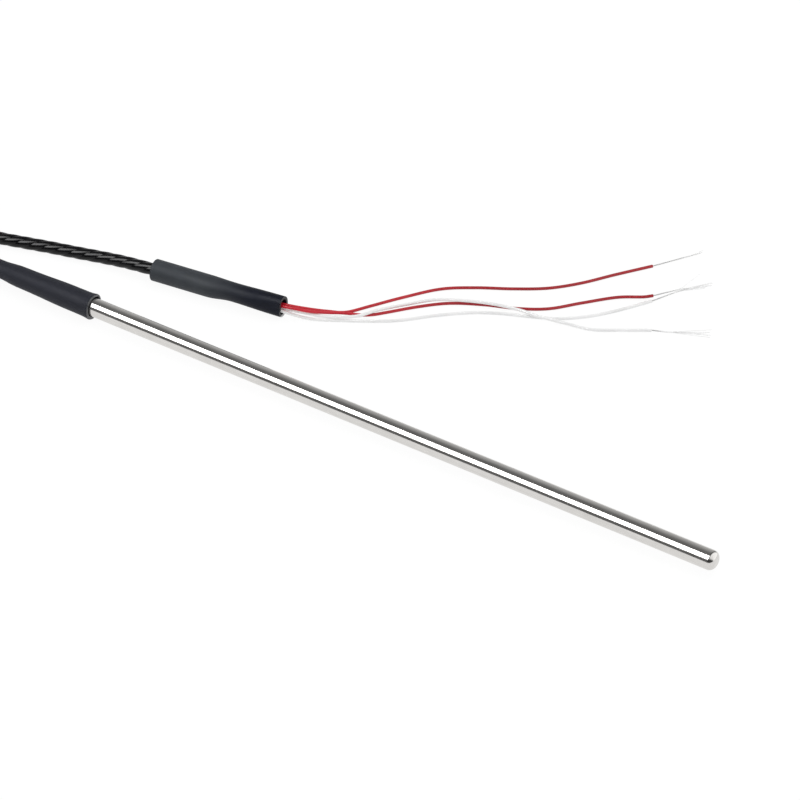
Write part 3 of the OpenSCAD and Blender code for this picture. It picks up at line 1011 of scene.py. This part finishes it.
@dataclass
class Cable:
    """Black four-core cable: out of the boot, once into a coil, and on to the transition sleeve."""

    diameter: float = 0.0041
    coil_mean: float = 0.044
    turns_each: float = 2.86
    whole_turns: int = 5
    last_turn: float = 270.0
    leave_angle: float = 30.0
    layer_rise: float = 90.0
    step_angle: float = 4.0
    tie: float = 0.0008
    tuck: float = 0.0001
    sleeve_rear: tuple[float, float] = (0.050, 0.0275)
    sleeve_turn: float = 7.0
    sleeve_height: float = 0.003575
    sleeve_jacket: float = 0.024
    lay: float = -0.0184

    @property
    def outer(self) -> float:
        """Radius of the coil's outermost centreline."""
        return self.coil_mean / 2 + self.diameter * self.turns_each / 2

    @property
    def inner(self) -> float:
        """Radius of the coil's innermost centreline."""
        return self.coil_mean / 2 - self.diameter * self.turns_each / 2

    @property
    def centre(self) -> Vector:
        """Middle of the coil on the floor."""
        return Vector((BOOT_REAR - 0.063, self.outer - self.tuck, 0))

    @property
    def low(self) -> float:
        """Height of a centreline that lies on the tie."""
        return self.tie + self.diameter / 2 + self.tuck

    def sleeve_point(self, distance: float, across: float = 0.0, up: float = 0.0) -> Vector:
        """A point in the transition sleeve's frame, from its rear end.

        Args:
            distance: Distance along the sleeve.
            across: Distance to its left.
            up: Height above its middle.

        Returns:
            The point in the row's frame.
        """
        turn = math.radians(self.sleeve_turn)
        return Vector((
            BOOT_REAR + self.sleeve_rear[0] + distance * math.cos(turn) - across * math.sin(turn),
            self.sleeve_rear[1] + distance * math.sin(turn) + across * math.cos(turn),
            self.sleeve_height + up,
        ))

    def from_boot(self) -> list[Vector]:
        """Points of the stretch between the sheath and the coil.

        Returns:
            The points, in the row's frame.
        """
        low = self.low
        route = [
            (0.028, 0, AXIS_Z), (0.012, 0, AXIS_Z), (0, 0, AXIS_Z), (-0.010, 0, AXIS_Z - 0.0007),
            (-0.020, 0, 0.0026), (-0.030, 0, 0.0023), (-0.040, 0, low), (-0.048, 0, low), (-0.055, 0, low),
        ]
        return [Vector((BOOT_REAR + x, y, z)) for x, y, z in route]

    def coil(self) -> list[Vector]:
        """Points of the turns: a lower layer wound inwards and an upper one wound outwards.

        Returns:
            The points, in the row's frame.
        """
        low, rise = self.low, self.layer_rise
        high = low + self.diameter - 2 * self.tuck
        total = self.whole_turns * 360 + self.last_turn - self.leave_angle
        half = total / 2
        points = []
        steps = round(total / self.step_angle)
        for step in range(steps + 1):
            angle = total * step / steps
            share = 1 - abs(angle - half) / half
            radius = self.outer - self.tuck - (self.outer - self.tuck - self.inner) * share
            height = low + (high - low) * smooth_step((angle - half + rise) / (2 * rise))
            turn = math.radians(-90 - angle)
            points.append(self.centre + Vector((radius * math.cos(turn), radius * math.sin(turn), height)))
        return points

    def to_sleeve(self) -> list[Vector]:
        """Points of the stretch between the coil and the jacket's end in the sleeve.

        Returns:
            The points, in the row's frame.
        """
        turn = math.radians(self.leave_angle)
        way = Vector((math.sin(turn), -math.cos(turn), 0))
        start = self.coil()[-1]
        stub = 2 * math.sqrt(self.outer * self.diameter / 2) + 0.001
        route = [
            (-0.026, 0.020, 0.0056), (-0.020, 0.0158, 0.0036), (-0.012, 0.0143, 0.0023),
            (-0.004, 0.0156, 0.0021), (0.0045, 0.018, 0.0021), (0.013, 0.0205, 0.0021),
            (0.0215, 0.0228, 0.0021), (0.029, 0.0248, 0.0022), (0.0375, 0.0262, 0.0028),
            (0.044, 0.0268, 0.0033),
        ]
        return [
            start + way * stub * 0.5, start + way * stub, start + way * (stub + 0.003),
            *(Vector((BOOT_REAR + x, y, z)) for x, y, z in route),
            self.sleeve_point(0.002), self.sleeve_point(self.sleeve_jacket),
        ]

    def centreline(self) -> list[Vector]:
        """The whole cable's middle, from its end in the sheath to its end in the sleeve."""
        return spline_through([*self.from_boot(), *self.coil(), *self.to_sleeve()], CORD_SPACING)

    def build(self, finishes: Finishes) -> tuple[Piece, list[Vector]]:
        """Make the jacket, with the four cores' twist showing through it.

        Args:
            finishes: Every finish of the probe.

        Returns:
            The jacket and its centreline.
        """
        line = self.centreline()
        sweep = Sweep(
            "cable_jacket", self.diameter / 2, sides=40, lobes=4, lobe_share=0.78, lay=self.lay, crease=16
        )
        jacket = sweep.piece([line], finishes.jacket)
        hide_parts("cable_from_boot", "cable_coil", "cable_to_sleeve")
        return jacket, line


# ---------------------------------------------------------------- probe body


@dataclass
class Sheath:
    """Closed steel tube with a swaged rear neck and a rounded tip."""

    radius: float = 0.003
    wall: float = 0.0005
    length: float = 0.250
    tip_round: float = 0.00208
    tip_wall: float = 0.0012
    neck: float = 0.0026
    neck_bore: float = 0.0021
    neck_length: float = 0.016
    cone: float = 0.005
    seat: float = 0.00283
    seat_length: float = 0.0295
    edge_round: float = 0.00015
    margin: float = 0.0002
    steps: int = 96
    tip_segments: int = 14
    lengths: int = 24

    def build(self, finishes: Finishes) -> None:
        """Spin the tube's wall and round its tip.

        Args:
            finishes: Every finish of the probe.
        """
        full = self.neck_length + self.cone
        bore = self.radius - self.wall
        bm = spun([
            (0, self.neck_bore), (0, self.neck), (self.neck_length, self.neck), (full, self.seat),
            (self.seat_length, self.seat), (self.seat_length, self.radius), (self.length, self.radius),
            (self.length, 0), (self.length - self.tip_wall, 0), (self.length - self.tip_wall, bore),
            (full, bore), (self.neck_length, self.neck_bore),
        ], self.steps)
        round_off(bm, rings_at(bm, [(self.length, self.radius)]), self.tip_round, self.tip_segments)
        round_off(bm, rings_at(bm, [(0, self.neck_bore), (0, self.neck)]), self.edge_round, 2)
        first, last = self.seat_length + self.margin, self.length - self.tip_round - self.margin
        cut_across(bm, first, last, self.lengths)
        place(bm, along_x(0))
        sheath = finished("sheath_tube", bm, finishes.steel)
        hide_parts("sheath")


@dataclass
class Boot:
    """Shrunk tube over the joint of sheath and cable, cut square and a little flared at the front."""

    tail: float = 0.018
    grip: float = 0.029
    lip_length: float = 0.003
    lip: float = 0.0042
    over_sheath: float = 0.00393
    over_neck: float = 0.00345
    over_cable: float = 0.0029
    wall: float = 0.00065
    lip_bore: float = 0.00312
    gap_angle: float = 52.0
    gap: float = 0.00042
    gap_width: float = 26.0
    bore_band: float = 0.0004
    lean: float = 0.00026
    lean_angle: float = 100.0
    cut_wave: float = 0.00005
    dent_depth: float = 0.00004
    dent_scale: float = 140.0
    dent_round: float = 1.7
    lip_round: float = 0.0003
    cut_round: float = 0.00018
    cut_depth: float = 0.001
    steps: int = 72

    def outline(self) -> list[tuple[float, float]]:
        """Half section: outside from the rear to the lip, then back along the bore.

        Returns:
            Pairs of distance from the sheath's rear end and radius.
        """
        front = self.grip - self.lip_length
        outside = [
            (-self.tail, self.over_cable), (-0.010, self.over_cable), (-0.0066, self.over_cable + 0.00003),
            (-0.0052, self.over_cable + 0.00014), (-0.0036, self.over_cable + 0.00031),
            (-0.0020, self.over_neck - 0.00010), (-0.0004, self.over_neck - 0.00002), (0.001, self.over_neck),
            (0.005, self.over_neck + 0.00006), (0.009, self.over_neck + 0.00016),
            (0.0125, self.over_neck + 0.00028), (0.016, self.over_sheath - 0.00007),
            (0.019, self.over_sheath - 0.00001), (0.0225, self.over_sheath),
            (front, self.over_sheath + 0.00003), (front + 0.0010, self.over_sheath + 0.00007),
            (front + 0.0018, self.over_sheath + 0.00015), (front + 0.0024, self.over_sheath + 0.00026),
            (self.grip, self.lip),
        ]
        inside = [
            (self.grip, self.lip_bore), (front + 0.0015, self.lip_bore),
            (front, self.over_sheath - self.wall),
            (0.021, self.over_sheath - self.wall), (0.016, self.over_neck - self.wall),
            (0, self.over_neck - self.wall), (-0.005, self.over_cable - self.wall),
            (-self.tail, self.over_cable - self.wall),
        ]
        return outside + inside

    def unevenness(self, bm: Shape) -> None:
        """Open the bore on one side, lean the cut and dent the outside slightly.

        Args:
            bm: The boot's shape, before it is put in place.
        """
        front = self.grip - self.lip_length
        for vert in bm.verts:
            x, y, z = vert.co
            radius = math.hypot(y, z)
            if radius < 1e-9:
                continue
            angle = math.atan2(y, z)
            near = smooth_step((x - front) / self.lip_length)
            away = math.degrees(abs(math.remainder(angle - math.radians(self.gap_angle), math.tau)))
            inner = radius < self.lip_bore + self.bore_band and x > front
            if inner:
                radius += self.gap * near * math.exp(-((away / self.gap_width) ** 2))
            else:
                across, up = self.dent_round * math.cos(angle), self.dent_round * math.sin(angle)
                dent = noise.noise(Vector((x * self.dent_scale, across, up)))
                radius -= self.dent_depth * (0.5 + 0.5 * dent)
            slant = self.lean * (1 - math.cos(angle - math.radians(self.lean_angle)))
            x += near * (slant + self.cut_wave * math.sin(3 * angle))
            vert.co = (x, radius * math.sin(angle), radius * math.cos(angle))

    def build(self, finishes: Finishes) -> None:
        """Spin the boot, round its cut edges and make it uneven as shrunk tube is.

        Args:
            finishes: Every finish of the probe.
        """
        bm = spun(self.outline(), self.steps)
        round_off(bm, rings_at(bm, [(self.grip, self.lip)]), self.lip_round, 4)
        small = rings_at(bm, [(self.grip, self.lip_bore), (-self.tail, self.over_cable)])
        round_off(bm, small, self.cut_round, 3)
        self.unevenness(bm)
        place(bm, along_x(0))
        boot = finished("boot_tube", bm, finishes.boot)
        dress_cut(boot, Vector((1, 0, 0)), SHEATH_REAR + self.grip - self.cut_depth, finishes.boot_cut)
        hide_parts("boot")


# ---------------------------------------------------------------- break-out


@dataclass
class TransitionSleeve:
    """Shrunk tube over the end of the cable's jacket, narrower over the wires and pinched at its mouth."""

    cable: Cable
    length: float = 0.046
    rear: float = 0.003575
    waist: float = 0.00305
    mouth: float = 0.00345
    wall: float = 0.0009
    waist_start: float = 0.0195
    waist_length: float = 0.009
    pinch: float = 0.34
    pinch_length: float = 0.012
    pinch_angle: float = 170.0
    pinch_width: float = 42.0
    far_share: float = 0.3
    far_width: float = 50.0
    swell: float = 0.05
    swell_place: float = 0.0205
    swell_length: float = 0.0045
    swell_angle: float = 168.0
    swell_width: float = 24.0
    lift: float = 0.000425
    cut_depth: float = 0.001
    sides: int = 40
    lengths: int = 46

    def radius(self, s: float) -> float:
        """Outside radius at a distance from the rear end.

        Args:
            s: The distance.

        Returns:
            The radius, before the pinch.
        """
        narrow = smooth_step((s - self.waist_start) / self.waist_length)
        rest = self.length - self.waist_start - self.waist_length
        open_up = smooth_step((s - self.waist_start - self.waist_length) / rest)
        return self.rear + (self.waist - self.rear) * narrow + (self.mouth - self.waist) * open_up

    def dent(self, s: float, angle: float) -> float:
        """Share of the radius that the mouth's pinch takes, less the swelling over the jacket's end.

        Args:
            s: Distance from the rear end.
            angle: Direction round the sleeve, in radians.

        Returns:
            The share, below nought where the sleeve swells.
        """
        near = smooth_step((s - self.length + self.pinch_length) / self.pinch_length)
        degrees = math.degrees(angle) % 360
        other = degrees if degrees < 180 else degrees - 360
        main_side = math.exp(-(((degrees - self.pinch_angle) / self.pinch_width) ** 2))
        pinch = main_side + self.far_share * math.exp(-((other / self.far_width) ** 2))
        swelling = math.exp(
            -(((s - self.swell_place) / self.swell_length) ** 2)
            - ((degrees - self.swell_angle) / self.swell_width) ** 2
        )
        return self.pinch * near * pinch - self.swell * swelling

    def build(self, finishes: Finishes) -> Piece:
        """Extrude a ring along the sleeve, over the rim and back along the inside.

        Args:
            finishes: Every finish of the probe.

        Returns:
            The sleeve.
        """
        stations = [self.length * i / self.lengths for i in range(self.lengths + 1)]
        path = [(s, 0.0) for s in stations] + [(s, self.wall) for s in reversed(stations)]
        bm = bmesh.new()
        bmesh.ops.create_circle(bm, cap_ends=False, segments=self.sides, radius=1.0)
        rings = [list(bm.verts)]
        edges = list(bm.edges)
        for _ in path[1:]:
            made = bmesh.ops.extrude_edge_only(bm, edges=edges)["geom"]
            rings.append([item for item in made if isinstance(item, bmesh.types.BMVert)])
            edges = [item for item in made if isinstance(item, bmesh.types.BMEdge)]
        for (s, inset), ring in zip(path, rings):
            lift = self.lift * smooth_step((s - self.waist_start) / self.waist_length)
            for vert in ring:
                angle = math.atan2(vert.co.y, vert.co.x)
                r = self.radius(s) * (1 - self.dent(s, angle)) - inset
                vert.co = self.cable.sleeve_point(s, r * math.cos(angle), lift + r * math.sin(angle))
        bmesh.ops.bridge_loops(bm, edges=[e for e in bm.edges if e.is_boundary])
        sleeve = finished("transition_tube", bm, finishes.sleeve)
        way = (self.cable.sleeve_point(1) - self.cable.sleeve_point(0)).normalized()
        reach = self.cable.sleeve_point(self.length - self.cut_depth).dot(way)
        dress_cut(sleeve, way, reach, finishes.cut)
        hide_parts("transition_sleeve")
        return sleeve


@dataclass
class Wire:
    """One insulated wire from the cable's end to its bare end."""

    name: str
    side: Side
    across: int
    level: int
    route: Sequence[Point]
    gather: tuple[float, float]
    splay: Sequence[tuple[float, float]]
    strand: float = 0.00013
    diameter: float = 0.001
    pitch: float = 0.00112
    mouth: float = 0.041
    into: float = 0.008
    droop: float = 0.6
    rest_height: float = 0.00011
    layer_step: float = 0.00022
    waver: float = 0.00025
    seed_step: float = 5.3
    hidden: float = 0.0012
    lowest: float = 0.0001

    def centreline(self, cable: Cable) -> list[Vector]:
        """The wire's middle, from the jacket's end to the end of the insulation.

        Args:
            cable: The cable that the wire leaves.

        Returns:
            The line, in the row's frame.
        """
        inside = [
            cable.sleeve_point(s, self.across * self.pitch / 2, self.level * self.pitch / 2)
            for s in (cable.sleeve_jacket, cable.sleeve_jacket + self.into, self.mouth)
        ]
        outside = [Vector((BOOT_REAR, 0, 0)) + Vector(point) / 1000 for point in self.route]
        rest = self.diameter / 2
        line = spline_through([*inside, *outside], CORD_SPACING)
        return [Vector((p.x, p.y, max(p.z, rest))) for p in line]

    def build(self, cable: Cable, finishes: Finishes) -> tuple[Piece, Piece, list[Vector]]:
        """Make the insulation and the bare strands.

        Args:
            cable: The cable that the wire leaves.
            finishes: Every finish of the probe.

        Returns:
            The insulation, the strands and the wire's centreline.
        """
        line = self.centreline(cable)
        skin = finishes.red if self.side is Side.RED else finishes.white
        body = Sweep(self.name, self.diameter / 2, sides=16).piece([line], skin)
        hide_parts(self.name.replace("insulated_", ""))
        strands = self.strands(line, finishes)
        return body, strands, line

    def strands(self, insulation: list[Vector], finishes: Finishes) -> Piece:
        """Make the seven strands: side by side where they leave the insulation, then splayed.

        Args:
            insulation: The wire's centreline.
            finishes: Every finish of the probe.

        Returns:
            The strands as one piece.
        """
        end = insulation[-1]
        way = (end - insulation[-3]).normalized()
        flat = Vector((way.x, way.y, 0)).normalized()
        side = Vector((-flat.y, flat.x, 0))

        def out(reach: float, degrees: float, height: float) -> Vector:
            """Point at a reach in millimetres and an angle from the wire's direction.

            Args:
                reach: Distance from the insulation's end, in millimetres.
                degrees: Angle from the wire's direction, over the floor.
                height: Height above the floor, in metres.

            Returns:
                The point, in the row's frame.
            """
            turn = math.radians(degrees)
            spot = end + (flat * math.cos(turn) + side * math.sin(turn)) * reach / 1000
            return Vector((spot.x, spot.y, height))

        lines = []
        for index, (reach, degrees) in enumerate(self.splay):
            round_it = math.tau * index / 6
            ring = side * math.cos(round_it) + Vector((0, 0, math.sin(round_it)))
            spot = ring * (self.strand if index else 0)
            root = end + spot
            knot = out(*self.gather, end.z * self.droop) + spot
            tip = out(reach, degrees, self.rest_height + self.layer_step * (index % 3))
            sway = noise.noise(Vector((index * self.seed_step, self.across, self.level)))
            halfway = knot.lerp(tip, 0.5) + side * self.waver * sway
            route = [root - way * self.hidden, root, root.lerp(knot, 0.5), knot, halfway, tip]
            line = spline_through(route, STRAND_SPACING)
            lines.append([Vector((p.x, p.y, max(p.z, self.lowest))) for p in line])
        name = self.name.replace("insulated_wire", "bare_strands")
        piece = Sweep(name, self.strand / 2, sides=6).piece(lines, finishes.tinned)
        # Distance from the insulation's end, in lengths to the gather, which the painted shade at the
        # strands' root reads.
        bared = piece.data.attributes.new("bared", "FLOAT", "POINT")
        for vert, item in zip(piece.data.vertices, bared.data):
            item.value = (vert.co - end).length / self.gather[0] * 1000
        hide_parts(self.name.replace("insulated_wire", "strands"))
        return piece


@dataclass
class BreakOut:
    """The transition sleeve and the four wires that leave it."""

    cable: Cable

    def wires(self) -> list[Wire]:
        """The four wires with their routes over the floor."""
        return [
            Wire("insulated_wire_red_1", Side.RED, 1, 1, [
                (98.4, 35.3, 3.9), (101.6, 37.9, 2.8), (104.4, 40.4, 1.8), (106.7, 42.5, 1.1),
                (109.2, 44.4, 0.6), (111.3, 46.4, 0.5), (115, 52.5, 0.5), (121, 62.4, 0.5),
                (128.5, 73, 0.5), (137, 79.5, 0.5), (147, 85.5, 0.5), (156, 92, 0.5), (163, 100, 0.5),
                (169.5, 110, 0.5), (177, 121, 0.5),
            ], (14, 4.1), [
                (17.6, 4.2), (18.2, 4), (19, 5.9), (16.8, 4.4), (17.9, 4.1), (17.2, 4.3), (18.6, 5.2),
            ]),
            Wire("insulated_wire_red_2", Side.RED, -1, 1, [
                (99.2, 33.9, 4.3), (102.6, 36.1, 3.4), (105.5, 38.8, 2.5), (107.7, 41, 1.9),
                (110, 43.2, 1.45), (112.3, 44.9, 1.1), (115, 46.7, 0.6), (118.1, 49, 0.5),
                (121.5, 53, 0.5), (127.5, 60.5, 0.5), (134.5, 67.5, 0.5), (144, 73, 0.5),
                (154.5, 77.5, 0.5), (162, 82.5, 0.5), (169, 91, 0.5), (177, 100, 0.6),
                (184, 104.1, 1.1), (186, 105.9, 1.3),
            ], (9.6, 16.2), [
                (16, 13.5), (20.6, 30.4), (15.4, 11.5), (21.2, 14.9), (19.8, 13), (17.7, 8.8), (20.4, 11.8),
            ]),
            Wire("insulated_wire_white_1", Side.WHITE, 1, -1, [
                (95.7, 33.6, 3), (102.6, 36.7, 2.1), (105.9, 38.4, 1.55), (110.6, 40.8, 1.55),
                (115.5, 44.5, 1.6), (119, 50.5, 1.7), (124, 59, 0.9), (131, 65.5, 1.7),
                (138.5, 70, 1.7), (147, 73.5, 1.7), (155.5, 75.5, 1.6), (163, 76, 1.6),
                (171, 78.5, 0.8), (179, 80.5, 0.5), (187, 85.5, 0.5), (194.5, 90.5, 0.5),
            ], (3.6, -7.5), [
                (17.9, -1.8), (18.1, -11.3), (15.2, -7), (18.7, 2.5), (16.8, -4.5), (17.6, -9), (18.2, -6.5),
            ]),
            Wire("insulated_wire_white_2", Side.WHITE, -1, -1, [
                (95.8, 32.3, 2.9), (103.2, 35.8, 1), (110.5, 40.3, 0.5), (119, 45.5, 0.5),
                (126.5, 51, 0.5), (135, 60, 0.5), (143.5, 67.5, 0.5), (151, 72, 0.5), (159, 75.5, 0.5),
                (167, 79.5, 0.5), (174, 85.5, 0.5), (179.5, 92.5, 0.5), (186.5, 104, 0.5),
            ], (10.6, 7.4), [
                (11.5, 6), (22.4, 1.7), (18.4, 2.6), (15, 6), (21.6, -1), (18.6, -3.4), (20.2, 0.6),
            ]),
        ]

    def build(self, jacket: Piece, line: list[Vector], tie: Piece, finishes: Finishes) -> None:
        """Args:
            jacket: The cable's jacket; not used.
            line: The cable's centreline; not used.
            tie: The tie that holds the coil together; not used.
            finishes: Every finish of the probe.
        """
        tube = TransitionSleeve(self.cable)
        sleeve = tube.build(finishes)
        for wire in self.wires():
            body, strands, middle = wire.build(self.cable, finishes)
            tuple(self.cable.sleeve_point(tube.length))


# ---------------------------------------------------------------- inside


@dataclass
class Inside:
    """The sealed pieces in the sheath, which keep the frame's own solids."""

    finishes: Finishes

    def dress(self) -> None:
        """Give each inner piece its finish."""
        f = self.finishes
        by_node = {
            "thermal_filler": f.powder, "element_body": f.alumina, "element_winding": f.platinum,
            "element_seal_front": f.glaze, "element_seal_rear": f.glaze, "rear_potting": f.resin,
            "boot_lining": f.adhesive, "sleeve_adhesive": f.adhesive,
        }
        for side, skin in ((Side.RED.value, f.red), (Side.WHITE.value, f.white)):
            by_node[f"element_lead_{side}"] = f.platinum
            by_node[f"splice_{side}"] = f.brass
            by_node[f"splice_sleeve_{side}"] = f.film
            for number in (1, 2):
                by_node[f"core_{side}_{number}"] = skin
                by_node[f"conductor_{side}_{number}"] = f.tinned
        for node, material in by_node.items():
            for slot in bpy.data.objects[node].material_slots:
                slot.material = material
            log.info("%s: dressed in %s", node, material.name)


# ---------------------------------------------------------------- main


def corners(box: tuple[Vector, Vector]) -> list[list[float]]:
    """A box's two corners as plain lists."""
    return [[float(part) for part in corner] for corner in box]


def main() -> None:
    """Build the studio and the probe."""
    logging.basicConfig(level=logging.INFO, format="%(name)s: %(message)s")
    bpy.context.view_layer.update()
    Studio().build()
    finishes = Finishes()
    cable = Cable()
    jacket, line = cable.build(finishes)
    tie = bpy.data.objects["coil_tie"]
    for slot in tie.material_slots:
        slot.material = finishes.nylon
    BreakOut(cable).build(jacket, line, tie, finishes)
    Sheath().build(finishes)
    Boot().build(finishes)
    Inside(finishes).dress()


if __name__ == "__main__":
    main()
